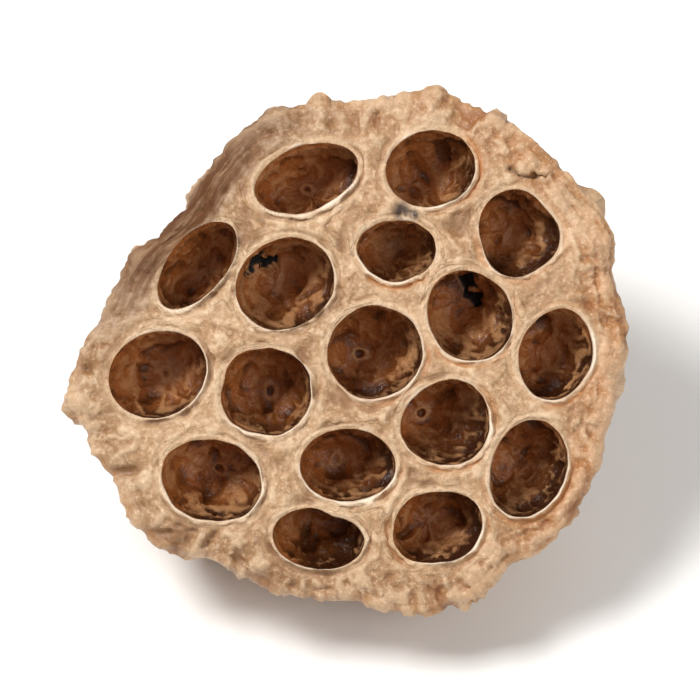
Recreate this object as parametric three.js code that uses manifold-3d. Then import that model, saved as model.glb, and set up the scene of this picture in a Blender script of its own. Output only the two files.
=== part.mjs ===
// A dried lotus pod lying on its side: a ribbed bowl with a puckered rim, a face pierced by seventeen empty
// seed chambers, and the short stub of its cut stem. It grew as one piece, so it is one solid.
// Millimetres, +Z up. The origin is the flat spot of the belly that the pod lies on, and the face looks
// towards -Y and upwards.
import * as THREE from "three";
import { mergeVertices } from "three/addons/utils/BufferGeometryUtils.js";
import Module from "manifold-3d";

const { degToRad, lerp, smoothstep } = THREE.MathUtils;

// The face and its rim
const RIM_RADIUS = 36;
const RIM_THICK = 2.4;
const FACE_RISE = 1.4;
const FACE_SWAY = 0.45;
const FACE_SWAY_LENGTH = 10;
const MARGIN_START = 0.8;
const MARGIN_DROP = 1.3;
const PUCKER_HEIGHT = 0.6;
const SCALLOP = 0.5;

// Puckers of the rim: how many waves go round it, their share of the height and where they start
const PUCKER_WAVES = [
  { count: 13, share: 0.5, start: 0.9 },
  { count: 22, share: 0.4, start: 3.0 },
  { count: 30, share: 0.5, start: 0.2 },
];

// Sides where the rim is pressed in: direction and half spread in degrees, depth in millimetres
const PRESSED_SIDES = [
  { at: 140, spread: 30, deep: 6.8 },
  { at: 250, spread: 24, deep: 3.4 },
  { at: 88, spread: 20, deep: 2.2 },
];

// The bowl behind the face and the stub of the stem
const BOWL_DEPTH = 33;
const BOWL_FULLNESS = 2.2;
const BOWL_ROUND_RADIUS = 34.5;
const STEM_RADIUS = 4.2;
const STEM_FLARE = 1.3;
const STEM_END_DEPTH = 39;

// Ribs of the bowl: how many waves go round it, their share of the height and where they start
const RIB_HEIGHT = 0.75;
const RIB_WAVES = [
  { count: 11, share: 0.8, start: 0.4 },
  { count: 18, share: 0.7, start: 2.1 },
  { count: 27, share: 0.6, start: 4.0 },
];

// The seed chambers lean towards one point far below the stem
const CHAMBER_DEPTH = 12.5;
const CHAMBER_SHALLOWING = 0.2;
const CHAMBER_MEETING_DEPTH = 200;
const LIP_HEIGHT = 0.75;
const LIP_WIDTH = 1.2;
const LIP_ROOT = 2;
const SCAR_HEIGHT = 0.07;

// Each mouth on the face: centre to the right and up, half length, half width, turn in degrees
const MOUTHS = [
  [3.0, -0.3, 5.8, 5.7, 90],
  [6.0, 13.0, 4.9, 4.0, 0],
  [-8.2, 8.6, 6.0, 5.9, 40],
  [-10.8, -5.3, 5.7, 5.5, 0],
  [-0.4, -14.8, 5.9, 4.7, -3],
  [12.3, -9.4, 5.6, 5.3, 0],
  [15.1, 4.4, 5.8, 5.2, 100],
  [-5.7, 21.9, 6.7, 4.3, 18],
  [10.3, 23.3, 5.7, 4.8, 15],
  [21.6, 14.7, 5.3, 5.1, 75],
  [26.4, -0.6, 5.8, 4.6, 75],
  [22.8, -15.1, 6.0, 4.8, 66],
  [11.4, -22.8, 5.7, 4.5, 12],
  [-3.8, -24.0, 5.8, 3.9, -4],
  [-17.7, -16.6, 6.5, 5.2, -10],
  [-24.6, -3.2, 6.2, 5.5, 20],
  [-19.6, 11.1, 6.2, 3.9, 53],
];

// The pod lies on its belly and on the edge of the stem's end, both pressed a little flat
const BELLY_RING = degToRad(37.5);
const BELLY_SIDE = degToRad(-90);
const BELLY_SMOOTH = degToRad(24);
const FLAT_DEPTH = 0.6;

// How finely the surfaces are divided
const SEGMENTS = 120;
const BOWL_RINGS = 11;
const MOUTH_SEGMENTS = 16;

const wasm = await Module();
wasm.setup();

// How far two directions are apart, from 0 to half a turn
function turnBetween(a, b) {
  return Math.abs(Math.atan2(Math.sin(a - b), Math.cos(a - b)));
}

// Distance from the pod's axis to its rim, in the direction given
function rimRadius(angle) {
  let radius = RIM_RADIUS;
  for (const { at, spread, deep } of PRESSED_SIDES) {
    const away = turnBetween(angle, degToRad(at)) / degToRad(spread);
    radius -= deep * Math.exp(-away * away);
  }
  return radius;
}

// Several waves round the pod added up, for its ribs and its puckers
function waveSum(waves, angle) {
  let height = 0;
  for (const { count, share, start } of waves) {
    height += share * Math.cos(count * angle + start);
  }
  return height;
}

// The ribs run from the stem to the rim, and fade out where the pod lies
function ribs(angle) {
  const clear = smoothstep(turnBetween(angle, BELLY_SIDE), BELLY_SMOOTH / 3, BELLY_SMOOTH);
  return RIB_HEIGHT * waveSum(RIB_WAVES, angle) * clear;
}

// The face swells a little at its middle and is uneven all over
function faceHeight(x, y) {
  const outward = (x * x + y * y) / (RIM_RADIUS * RIM_RADIUS);
  const sway = Math.sin(x / FACE_SWAY_LENGTH + 1) * Math.cos(y / FACE_SWAY_LENGTH + 0.5);
  return FACE_RISE * (1 - outward) + FACE_SWAY * sway;
}

// A ring of the bowl, counted as an angle from the stem's base to the rim
function bowlRing(ring) {
  const share = Math.sin(ring) ** (2 / BOWL_FULLNESS);
  return { share, depth: BOWL_DEPTH * Math.cos(ring) };
}

// Radius of the bowl: round near the stem, and more and more like the rim above it
function bowlRadius(share, angle) {
  return share * lerp(BOWL_ROUND_RADIUS, rimRadius(angle), smoothstep(share, 0.3, 1));
}

// Half section of the pod from the stem's end, round the bowl, to the middle of the face. It gives each ring's
// share of the rim radius, and its height.
function podProfile() {
  const stem = STEM_RADIUS / BOWL_ROUND_RADIUS;
  const profile = [
    new THREE.Vector2(0, -STEM_END_DEPTH),
    new THREE.Vector2(stem, -STEM_END_DEPTH),
    new THREE.Vector2(stem, -lerp(BOWL_DEPTH, STEM_END_DEPTH, 0.4)),
  ];
  const firstRing = Math.asin((stem * STEM_FLARE) ** (BOWL_FULLNESS / 2));
  const lastRing = Math.acos(RIM_THICK / BOWL_DEPTH);
  for (let i = 0; i < BOWL_RINGS; i++) {
    const { share, depth } = bowlRing(lerp(firstRing, lastRing, i / (BOWL_RINGS - 1)));
    profile.push(new THREE.Vector2(share, -depth));
  }
  for (const share of [0.98, 0.92, 0.84, 0.5, 0]) {
    profile.push(new THREE.Vector2(share, 0));
  }
  return profile;
}

// The whole pod before its chambers are opened
function podBody() {
  const geometry = new THREE.LatheGeometry(podProfile(), SEGMENTS).rotateX(Math.PI / 2);
  const position = geometry.getAttribute("position");
  for (let i = 0; i < position.count; i++) {
    const share = Math.hypot(position.getX(i), position.getY(i));
    const angle = Math.atan2(position.getY(i), position.getX(i));
    const height = position.getZ(i);
    const onFace = height > -RIM_THICK / 2;
    const margin = smoothstep(share, MARGIN_START, 1);
    const pucker = waveSum(PUCKER_WAVES, angle);
    let radius = bowlRadius(share, angle) + ribs(angle) * smoothstep(share, 0.15, 0.5);
    if (onFace) {
      radius = share * rimRadius(angle);
    }
    radius += SCALLOP * pucker * smoothstep(share, 0.9, 1);
    const x = radius * Math.cos(angle);
    const y = radius * Math.sin(angle);
    const lift = onFace ? faceHeight(x, y) - MARGIN_DROP * margin : 0;
    position.setXYZ(i, x, y, height + lift + PUCKER_HEIGHT * pucker * margin);
  }
  return geometry;
}

// A cup with a rounded bottom and the small scar of the seed's stalk, as deep as the chamber given
function chamberSpace([x, y, halfLength, halfWidth, turn]) {
  const depth = CHAMBER_DEPTH * (1 - CHAMBER_SHALLOWING * (Math.hypot(x, y) / RIM_RADIUS));
  const profile = [
    new THREE.Vector2(0, SCAR_HEIGHT - 1),
    new THREE.Vector2(0.14, SCAR_HEIGHT - 1),
    new THREE.Vector2(0.22, -1),
    new THREE.Vector2(0.66, -0.9),
    new THREE.Vector2(0.97, -0.6),
    new THREE.Vector2(1, 0.3),
    new THREE.Vector2(0, 0.3),
  ];
  const lean = new THREE.Matrix4().makeShear(
    0,
    0,
    0,
    0,
    x / CHAMBER_MEETING_DEPTH,
    y / CHAMBER_MEETING_DEPTH,
  );
  return new THREE.LatheGeometry(profile, MOUTH_SEGMENTS)
    .rotateX(Math.PI / 2)
    .scale(halfLength, halfWidth, depth)
    .rotateZ(degToRad(turn))
    .applyMatrix4(lean)
    .translate(x, y, faceHeight(x, y));
}

// The low collar that the chamber's opening leaves as a thin raised lip
function lipCollar([x, y, halfLength, halfWidth, turn]) {
  const profile = [
    new THREE.Vector2(0, -LIP_ROOT),
    new THREE.Vector2(1, -LIP_ROOT),
    new THREE.Vector2(1, 0),
    new THREE.Vector2(0.92, LIP_HEIGHT),
    new THREE.Vector2(0, LIP_HEIGHT),
  ];
  return new THREE.LatheGeometry(profile, MOUTH_SEGMENTS)
    .rotateX(Math.PI / 2)
    .scale(halfLength + LIP_WIDTH, halfWidth + LIP_WIDTH, 1)
    .rotateZ(degToRad(turn))
    .translate(x, y, faceHeight(x, y));
}

// How the pod lies: turned back until its belly and the edge of its stem's end are level
function restingPlace() {
  const { share, depth } = bowlRing(BELLY_RING);
  const belly = new THREE.Vector3(0, -bowlRadius(share, BELLY_SIDE), -depth);
  const turn = Math.atan2(STEM_END_DEPTH - depth, -belly.y - STEM_RADIUS);
  const turned = belly.clone().applyAxisAngle(new THREE.Vector3(1, 0, 0), turn);
  return { turn, shift: new THREE.Vector3(0, -turned.y, -turned.z - FLAT_DEPTH) };
}

// A closed geometry as a solid that can be joined and cut
function solidOf(geometry) {
  geometry.deleteAttribute("normal");
  geometry.deleteAttribute("uv");
  const merged = mergeVertices(geometry);
  const mesh = new wasm.Mesh({
    numProp: 3,
    vertProperties: merged.getAttribute("position").array,
    triVerts: new Uint32Array(merged.index.array),
  });
  return new wasm.Manifold(mesh);
}

// The solid's surface as a geometry for drawing
function geometryOf(solid) {
  const mesh = solid.getMesh();
  const geometry = new THREE.BufferGeometry();
  geometry.setAttribute("position", new THREE.BufferAttribute(mesh.vertProperties, 3));
  geometry.setIndex(new THREE.BufferAttribute(mesh.triVerts, 1));
  geometry.computeVertexNormals();
  return geometry;
}

// The ground as a block under the pod, in the pod's own frame
function groundBlock(place) {
  const size = 4 * RIM_RADIUS;
  return new THREE.BoxGeometry(size, size, size)
    .translate(0, 0, -size / 2)
    .translate(-place.shift.x, -place.shift.y, -place.shift.z)
    .rotateX(-place.turn);
}

const place = restingPlace();
let solid = solidOf(podBody());
for (const mouth of MOUTHS) {
  solid = solid.add(solidOf(lipCollar(mouth)));
}
for (const mouth of MOUTHS) {
  solid = solid.subtract(solidOf(chamberSpace(mouth)));
}
solid = solid.subtract(solidOf(groundBlock(place)));

const husk = new THREE.MeshStandardMaterial({ color: 0xc89f70, roughness: 0.55, metalness: 0.3 });
const pod = new THREE.Mesh(geometryOf(solid), husk);
pod.name = "lotus_pod";
pod.rotation.x = place.turn;
pod.position.copy(place.shift);

const group = new THREE.Group();
group.add(pod);

export default group;
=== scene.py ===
# %% [markdown]
# # A dried lotus pod
# A lotus pod is the seed head of the plant: a spongy bowl that dries hard, with a wrinkled face full of
# holes. It grew as one piece, so it is one mesh with no joints. The lesson loads the pod as it was built,
# makes a finer skin by the same rules, wrinkles it with Geometry Nodes and paints it with materials that
# follow the skin.

# %% Load the frame
import math
from collections import Counter
from functools import partial, reduce

import bpy
import numpy as np
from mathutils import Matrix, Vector
from mathutils.geometry import delaunay_2d_cdt


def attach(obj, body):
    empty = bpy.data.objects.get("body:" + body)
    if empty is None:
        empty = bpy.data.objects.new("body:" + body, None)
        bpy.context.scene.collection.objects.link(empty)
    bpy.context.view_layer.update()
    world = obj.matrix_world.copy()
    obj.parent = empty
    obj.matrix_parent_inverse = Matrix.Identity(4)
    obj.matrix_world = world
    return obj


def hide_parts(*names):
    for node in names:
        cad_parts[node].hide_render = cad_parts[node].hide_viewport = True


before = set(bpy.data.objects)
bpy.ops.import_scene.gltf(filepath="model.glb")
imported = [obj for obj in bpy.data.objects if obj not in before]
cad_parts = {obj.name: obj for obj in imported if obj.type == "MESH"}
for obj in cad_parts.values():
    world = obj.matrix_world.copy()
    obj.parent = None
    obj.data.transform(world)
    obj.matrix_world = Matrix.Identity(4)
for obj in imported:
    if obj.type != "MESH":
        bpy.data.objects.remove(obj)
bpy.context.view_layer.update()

# %% [markdown]
# ## The rules of the shape
# A pod is easiest to describe in its own frame, in millimetres: the middle of the face is the origin, x
# runs to the right, y up the face and z out of it. The rim is a circle that was pressed in on three sides,
# the bowl is a full oval below it, and ribs and puckers are waves that go round. NumPy works a rule out for
# thousands of points at once, so each rule is a function of whole arrays.

# %% Rim, ribs and face as functions
RIM_RADIUS = 36.0
RIM_THICK = 2.4
FACE_RISE = 1.4
FACE_SWAY = 0.45
FACE_SWAY_LENGTH = 10.0
MARGIN_START = 0.8
MARGIN_DROP = 1.3
PUCKER_HEIGHT = 0.6
SCALLOP = 0.25
RIB_HEIGHT = 0.75

# Each wave: how many go round, its share of the height, where it starts
PUCKER_WAVES = [(13, 0.5, 0.9), (22, 0.4, 3.0), (30, 0.5, 0.2)]
RIB_WAVES = [(11, 0.8, 0.4), (18, 0.7, 2.1), (27, 0.6, 4.0)]

# Each pressed side: its direction and half spread in degrees, its depth
PRESSED_SIDES = [(140, 30, 6.8), (250, 24, 3.4), (88, 20, 2.2)]
# Small dents of the rim; one with a negative depth is a bulge
SMALL_DENTS = [(14, 6, 0.7), (28, 8, -0.7), (71, 5, -0.8), (86, 9, 1.5), (102, 11, 0.9), (120, 10, 0.6)]
SMALL_DENTS += [(140, 14, 1.2), (170, 10, 1.8), (185, 9, -1.0), (209, 6, 0.9), (226, 6, -0.9), (237, 6, 1.6)]
SMALL_DENTS += [(271, 9, 2.3), (306, 7, 1.4), (342, 12, 1.2), (354, 6, 1.2)]

BELLY_SIDE = math.radians(-90)
BELLY_SMOOTH = math.radians(24)


def ease(value, start, end):
    """0 before start, 1 after end, and a smooth step between them."""
    share = np.clip((value - start) / (end - start), 0, 1)
    return share * share * (3 - 2 * share)


def turn_between(a, b):
    """How far two directions are apart, from 0 to half a turn."""
    return np.abs(np.arctan2(np.sin(a - b), np.cos(a - b)))


def circle(angles):
    return np.column_stack([np.cos(angles), np.sin(angles)])


def direction(points):
    return np.arctan2(points[:, 1], points[:, 0])


def wave_sum(waves, angle):
    return sum(share * np.cos(count * angle + start) for count, share, start in waves)


def pressed_in(sides, angle):
    """How far an outline is pressed in, in each direction."""
    depth = np.zeros_like(angle)
    for side, spread, deep in sides:
        away = turn_between(angle, math.radians(side)) / math.radians(spread)
        depth += deep * np.exp(-away * away)
    return depth


def rim_radius(angle):
    return RIM_RADIUS - pressed_in(PRESSED_SIDES, angle) - pressed_in(SMALL_DENTS, angle)


def ribs(angle):
    clear = ease(turn_between(angle, BELLY_SIDE), BELLY_SMOOTH / 3, BELLY_SMOOTH)
    return RIB_HEIGHT * wave_sum(RIB_WAVES, angle) * clear


def face_height(x, y):
    outward = (x * x + y * y) / RIM_RADIUS**2
    sway = np.sin(x / FACE_SWAY_LENGTH + 1) * np.cos(y / FACE_SWAY_LENGTH + 0.5)
    return FACE_RISE * (1 - outward) + FACE_SWAY * sway


around = np.linspace(0, 2 * math.pi, 360, endpoint=False)
print("rim radius from", rim_radius(around).min().round(1), "to", rim_radius(around).max().round(1), "mm")

# %% [markdown]
# ## How the pod lies
# A pod with a short stem can't stand on it. It rolls back until its belly and the edge of the stem's end
# both touch the table. These two points give the tilt, and the belly's is the origin of the part, so one
# small function moves any point of the pod's own frame to its place on the table, in metres.

# %% Bowl, stem and resting place
BOWL_DEPTH = 33.0
BOWL_FULLNESS = 2.2
BOWL_ROUND_RADIUS = 34.5
STEM_RADIUS = 4.2
STEM_FLARE = 1.3
STEM_END_DEPTH = 39.0
BELLY_RING = math.radians(37.5)
FLAT_DEPTH = 0.6
MM = 0.001


def bowl_ring(ring):
    """Share of the rim radius and depth of a ring, which is an angle that grows from the stem to the rim."""
    return np.sin(ring) ** (2 / BOWL_FULLNESS), BOWL_DEPTH * np.cos(ring)


def bowl_radius(share, angle):
    """Round near the stem, and more and more like the rim above it; small dents are only near the rim."""
    like_rim = ease(share, 0.3, 1)
    pressed = RIM_RADIUS - pressed_in(PRESSED_SIDES, angle)
    dents = pressed_in(SMALL_DENTS, angle) * ease(share, 0.75, 1)
    return share * (BOWL_ROUND_RADIUS + (pressed - BOWL_ROUND_RADIUS) * like_rim) - dents


belly_share, belly_depth = bowl_ring(BELLY_RING)
belly_radius = bowl_radius(belly_share, np.array([BELLY_SIDE]))[0]
tilt = math.atan2(STEM_END_DEPTH - belly_depth, belly_radius - STEM_RADIUS)
lying_turn = np.array(
    [[1, 0, 0], [0, math.cos(tilt), -math.sin(tilt)], [0, math.sin(tilt), math.cos(tilt)]]
)
belly_turned = lying_turn @ np.array([0, -belly_radius, -belly_depth])
lying_shift = np.array([0, -belly_turned[1], -belly_turned[2] - FLAT_DEPTH])


def on_the_table(points):
    """Points of the pod's own frame, in millimetres, as points of the part's frame, in metres."""
    return (points @ lying_turn.T + lying_shift) * MM


face_middle = on_the_table(np.zeros((1, 3)))[0]
print("tilted back", round(math.degrees(tilt), 1), "degrees, middle of the face at", face_middle.round(4))

# %% [markdown]
# ## The mouths of the seed chambers
# The face has seventeen holes, each the mouth of a papery cup that once held a seed. No two are alike, so
# their places and sizes are a measured list, and a few soft lobes with a fixed seed make each outline uneven.
# An outline is kept as a radius for every direction. That makes it easy to draw a loop at any distance
# outside the edge, and to tell how far any point of the face is from the nearest edge.

# %% Mouth outlines
# Each mouth: centre to the right and up, half length, half width, turn in degrees
MOUTHS = [
    (3.2, -0.3, 6.1, 6.0, 48),
    (6.0, 13.0, 5.0, 4.2, 0),
    (-8.3, 8.6, 6.4, 5.7, 37),
    (-10.8, -5.4, 5.9, 5.6, 0),
    (-0.3, -14.8, 6.0, 4.8, -4),
    (12.4, -9.4, 5.8, 5.4, 25),
    (15.3, 4.4, 6.0, 5.3, 114),
    (-5.7, 22.0, 7.0, 4.2, 22),
    (10.3, 23.3, 5.8, 4.9, 15),
    (21.7, 14.9, 5.6, 5.1, 108),
    (26.5, -0.6, 6.1, 4.6, 69),
    (22.9, -15.2, 6.4, 4.9, 68),
    (11.2, -22.8, 5.9, 4.6, 12),
    (-4.0, -24.2, 6.0, 3.9, -4),
    (-17.8, -16.7, 6.7, 5.2, -15),
    (-24.7, -3.1, 6.5, 5.4, 30),
    (-19.7, 10.9, 6.7, 3.6, 50),
]
# Pressed sides of some mouths
MOUTH_DENTS = {1: [(90, 40, 0.6)], 13: [(58, 30, 0.7)], 9: [(300, 35, 0.4)]}
LOBE_COUNTS = np.array([2, 3, 4, 5, 7, 11, 16, 23])
LOBE_SHARES = np.array([0.014, 0.014, 0.01, 0.006, 0.004, 0.003, 0.003, 0.002])

rng = np.random.default_rng(17)
mouth_lobes = rng.normal(0, 1, (len(MOUTHS), len(LOBE_COUNTS))) * LOBE_SHARES
lobe_starts = rng.uniform(0, 2 * math.pi, (len(MOUTHS), len(LOBE_COUNTS)))


def mouth_radius(number, angle):
    """Distance from a mouth's middle to its edge, in the direction given."""
    _, _, half_length, half_width, turn = MOUTHS[number]
    own = angle - math.radians(turn)
    radius = half_length * half_width / np.hypot(half_width * np.cos(own), half_length * np.sin(own))
    uneven = np.cos(np.multiply.outer(angle, LOBE_COUNTS) + lobe_starts[number]) @ mouth_lobes[number]
    return radius * (1 + uneven) - pressed_in(MOUTH_DENTS.get(number, []), angle)


def mouth_slant(number, angle):
    """How much longer a step along the radius is than a step square to the edge."""
    step = 0.01
    slope = (mouth_radius(number, angle + step) - mouth_radius(number, angle - step)) / (2 * step)
    return np.hypot(1, slope / mouth_radius(number, angle))


def mouth_distances(points):
    """Distance of each point from each mouth's edge, negative inside."""
    rows = []
    for number, (x, y, *_) in enumerate(MOUTHS):
        across = points - (x, y)
        angle = direction(across)
        away = np.hypot(across[:, 0], across[:, 1]) - mouth_radius(number, angle)
        rows.append(away / mouth_slant(number, angle))
    return np.array(rows)


def mouth_loop(number, angles, outside=0.0):
    """A ring of points round a mouth, that far outside its edge."""
    radius = mouth_radius(number, angles) + outside * mouth_slant(number, angles)
    return MOUTHS[number][:2] + radius[:, None] * circle(angles)


print(len(MOUTHS), "mouths, from", min(m[3] * 2 for m in MOUTHS), "to", max(m[2] * 2 for m in MOUTHS), "mm")

# %% [markdown]
# ## The skin of the face
# The face is a sheet with holes. It needs small triangles at the lips and larger ones elsewhere, which a
# grid can't give. A constrained Delaunay triangulation can: it takes any points, keeps the edges of the rim
# and the mouths, and fills the rest with well-shaped triangles. The points are rings close round each
# mouth, where the lip rises, and an even scatter in between.

# %% Points of the face
RIM_POINTS = 460
MOUTH_POINTS = 92
EDGE_SHARE = 0.955
LIP_RINGS = [0.08, 0.16, 0.27, 0.42, 0.6, 0.82, 1.1, 1.5]
WEB_SPACING = 0.31
WEB_JITTER = 0.04
# Gaps that rings keep from other mouths, in mm, and that rings and webs keep from the edge, as shares
RING_GAP = 0.05
RING_EDGE_GAP = 0.01
WEB_EDGE_GAP = 0.012
rim_angles = np.linspace(0, 2 * math.pi, RIM_POINTS, endpoint=False)
mouth_angles = np.linspace(0, 2 * math.pi, MOUTH_POINTS, endpoint=False)


def rim_share(points):
    return np.hypot(points[:, 0], points[:, 1]) / rim_radius(direction(points))


def lip_ring_points():
    """Rings round every mouth, left out where another mouth or the rim is nearer."""
    kept = []
    for number in range(len(MOUTHS)):
        for outside in LIP_RINGS:
            ring = mouth_loop(number, mouth_angles, outside)
            distances = np.delete(mouth_distances(ring), number, axis=0)
            free = distances.min(axis=0) > outside + RING_GAP
            free &= rim_share(ring) < EDGE_SHARE - RING_EDGE_GAP
            kept.append(ring[free])
    return np.concatenate(kept)


def web_points():
    """An even scatter over the webs between the mouths and over the margin."""
    steps = np.arange(-RIM_RADIUS, RIM_RADIUS, WEB_SPACING)
    x, y = np.meshgrid(steps, steps * math.sqrt(3) / 2)
    x[1::2] += WEB_SPACING / 2
    grid = np.column_stack([x.ravel(), y.ravel()]) + rng.normal(0, WEB_JITTER, (x.size, 2))
    grid = grid[rim_share(grid) < EDGE_SHARE - WEB_EDGE_GAP]
    return grid[mouth_distances(grid).min(axis=0) > LIP_RINGS[-1] + WEB_SPACING / 2]


edge_radius = EDGE_SHARE * rim_radius(rim_angles)
edge_loop = circle(rim_angles) * edge_radius[:, None]
mouth_loops = [mouth_loop(number, mouth_angles) for number in range(len(MOUTHS))]
face_points = np.concatenate([edge_loop, *mouth_loops, lip_ring_points(), web_points()])
print("face:", len(face_points), "points")

# %% Triangles of the face


def loop_edges(first, count):
    return [(first + i, first + (i + 1) % count) for i in range(count)]


kept_edges = loop_edges(0, RIM_POINTS)
for number in range(len(MOUTHS)):
    kept_edges += loop_edges(RIM_POINTS + number * MOUTH_POINTS, MOUTH_POINTS)
filled = delaunay_2d_cdt([Vector(p) for p in face_points], kept_edges, [], 0, 1e-6)
came_from = [inputs[0] for inputs in filled[3]]
triangles = np.array([[came_from[corner] for corner in face] for face in filled[2]])

# A triangle whose corners all lie on one loop fills a hole or a bay of the rim, and isn't skin
loop_of = np.full(len(face_points), -1)
loop_of[:RIM_POINTS] = len(MOUTHS)
for number in range(len(MOUTHS)):
    first = RIM_POINTS + number * MOUTH_POINTS
    loop_of[first : first + MOUTH_POINTS] = number
corner_loops = loop_of[triangles]
on_one_loop = (corner_loops == corner_loops[:, :1]).all(axis=1) & (corner_loops[:, 0] >= 0)
triangles = triangles[~on_one_loop]
a, b, c = (face_points[triangles[:, corner]] for corner in range(3))
facing = (b[:, 0] - a[:, 0]) * (c[:, 1] - a[:, 1]) - (b[:, 1] - a[:, 1]) * (c[:, 0] - a[:, 0])
triangles[facing < 0] = triangles[facing < 0][:, ::-1]
print("face:", len(triangles), "triangles")

# %% [markdown]
# ## Lips, webs and margin
# The edge of each cup dries to a thin standing lip. The skin pulls away from it and leaves a fine groove
# outside, deep in some places and gone in others. The webs between the cups swell a little, and the outer
# margin drops and puckers. All of it is one height above the face, read off the distance to the nearest
# mouth, so that two lips that meet simply blend.

# %% Heights of the face
LIP_DISTANCE = [0.0, 0.08, 0.16, 0.27, 0.42, 0.7, 1.1, 1.6, 2.4, 9.0]
LIP_HEIGHT = [0.1, 0.26, 0.34, 0.24, 0.08, 0.02, 0.06, 0.14, 0.24, 0.3]
# Lips and grooves are strongest on this side of each mouth, where the paint also puts the brightest painted
# highlight on the lip and the darkest painted shade in the groove
LIP_SIDE = math.radians(-45)
GROOVE_AWAY = 0.72
GROOVE_HALF_WIDE = 0.3
GROOVE_DEPTH = 0.26
# Splits in the rim: both ends, half width
RIM_SPLITS = [((20.4, 23.3), (22.6, 22.3), 0.34), ((22.6, 22.3), (25.0, 22.4), 0.26)]
RIM_SPLITS += [((-16.4, -28.3), (-14.6, -30.2), 0.6)]
SPLIT_DEPTH = 0.9
SPLIT_DARK = 0.65
# A lip's strength: its middle, what its strong side adds, its bounds and its waves
LIP_MIDDLE = 0.5
LIP_SIDED = 0.6
LIP_BOUNDS = (0.05, 1.6)
LIP_WAVES = [1, 2, 3, 5, 9]
LIP_WAVE_SHARES = (0.3, 0.3, 0.3, 0.2, 0.2)
lip_swell = rng.normal(0, 1, (len(MOUTHS), len(LIP_WAVES))) * LIP_WAVE_SHARES
lip_start = rng.uniform(0, 2 * math.pi, (2, len(MOUTHS), len(LIP_WAVES)))


def lip_strength(points, distances, kind):
    """How strong the nearest mouth's lip (kind 0) or groove (kind 1) is towards each point."""
    nearest = distances.argmin(axis=0)
    angle = direction(points - np.array(MOUTHS)[nearest, :2])
    waves = np.cos(np.multiply.outer(angle, LIP_WAVES) + lip_start[kind, nearest])
    usual = LIP_MIDDLE + LIP_SIDED * np.cos(angle - LIP_SIDE)
    return np.clip(usual + (waves * lip_swell[nearest]).sum(axis=1), *LIP_BOUNDS)


def rim_split(points):
    """1 in the middle of a split, 0 where the rim is whole."""
    worst = np.zeros(len(points))
    for start, end, half_wide in RIM_SPLITS:
        along = np.subtract(end, start)
        share = np.clip((points - start) @ along / (along @ along), 0, 1)
        away = np.linalg.norm(points - start - share[:, None] * along, axis=1)
        worst = np.maximum(worst, np.exp(-((away / half_wide) ** 2)))
    return worst


def groove_depth(points, distances):
    """How deep the groove outside the nearest lip is: 0 where there is none or two mouths are as near."""
    ordered = np.sort(distances, axis=0)
    groove = np.exp(-(((ordered[0] - GROOVE_AWAY) / GROOVE_HALF_WIDE) ** 2))
    groove *= lip_strength(points, distances, 1)
    return groove * ease(ordered[1] - ordered[0], 0.1, 0.9)


def skin_height(points, distances):
    """Height of the face over the plane of the rim."""
    share = rim_share(points)
    margin = ease(share, MARGIN_START, 1)
    height = face_height(points[:, 0], points[:, 1]) - MARGIN_DROP * margin
    height += PUCKER_HEIGHT * wave_sum(PUCKER_WAVES, direction(points)) * margin
    distance = distances.min(axis=0)
    relief = np.interp(distance, LIP_DISTANCE, LIP_HEIGHT)
    relief *= np.where(distance < LIP_DISTANCE[5], lip_strength(points, distances, 0), 1)
    relief -= GROOVE_DEPTH * groove_depth(points, distances)
    return height + relief - SPLIT_DEPTH * rim_split(points)


face_distances = mouth_distances(face_points)
face_distance = face_distances.min(axis=0)
face_z = skin_height(face_points, face_distances)
print("face from", face_z.min().round(2), "to", face_z.max().round(2), "mm high")

# %% [markdown]
# ## One growing list of skin
# Rim, bowl, stem and cups are all rings of points joined by quads, so one small class collects them. For
# every point it also holds the numbers that the wrinkles and the paint need later: how far it lies down the
# bowl, and whether it is margin, lip, lining or cut stem.

# %% A collector for points, faces and their numbers
SKIN_NUMBERS = ["bowl", "margin", "web", "away", "lip", "groove", "stain", "weathered"]
SKIN_NUMBERS += ["lining", "scar", "ring", "tear", "cut"]


class Skin:
    def __init__(self):
        self.points = []
        self.faces = []
        self.numbers = {name: [] for name in SKIN_NUMBERS}
        self.grain = []

    def count(self):
        return sum(len(part) for part in self.points)

    def add(self, points, angle, along, **numbers):
        """Adds points of the pod's own frame, and says how many there were before."""
        first = self.count()
        self.points.append(points)
        down = np.broadcast_to(along, len(points))
        self.grain.append(np.column_stack([circle(angle), down]))
        for name in SKIN_NUMBERS:
            self.numbers[name].append(np.broadcast_to(numbers.get(name, 0.0), len(points)).astype(float))
        return first

    def join_rings(self, first, second, count, inward=False):
        """Quads between two rings of equally many points. An inward wall faces the middle of its ring."""
        for i in range(count):
            j = (i + 1) % count
            quad = [first + i, second + i, second + j, first + j]
            self.faces.append(quad[::-1] if inward else quad)

    def join_halved(self, first, second, count):
        """Triangles between a ring and the next one, which has only every second of its points."""
        for i in range(0, count, 2):
            odd, last = first + i + 1, first + (i + 2) % count
            low, next_low = second + i // 2, second + (i // 2 + 1) % (count // 2)
            self.faces += [[first + i, low, odd], [odd, low, next_low], [odd, next_low, last]]

    def close_ring(self, ring, middle, count, inward=False):
        for i in range(count):
            fan = [ring + i, middle, ring + (i + 1) % count]
            self.faces.append(fan[::-1] if inward else fan)


skin = Skin()
print("numbers of a point:", len(SKIN_NUMBERS))

# %% The face joins the skin
# Each dark stain of the face: its place to the right and up, its half size
STAINS = [(6.6, 17.9, 1.2), (8.2, 17.4, 0.7), (-15.4, -29.4, 1.3)]
# The pale crest of a lip, pale partly as painted highlight on its strong side: its distance from the mouth,
# its half width, and its reach into the cup
LIP_CREST = 0.12
LIP_HALF_WIDE = 0.17
LIP_INSIDE = 0.25
# The side of the rim that is painted darker, as painted shade: direction and half spread in degrees
SHADED_RIM_SIDE = (140, 34)
# Away from a mouth its pull on the wrinkles fades over this distance
PULL_FADES = 1.8


# How much painted shade the side of the rim gets, for each direction
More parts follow.
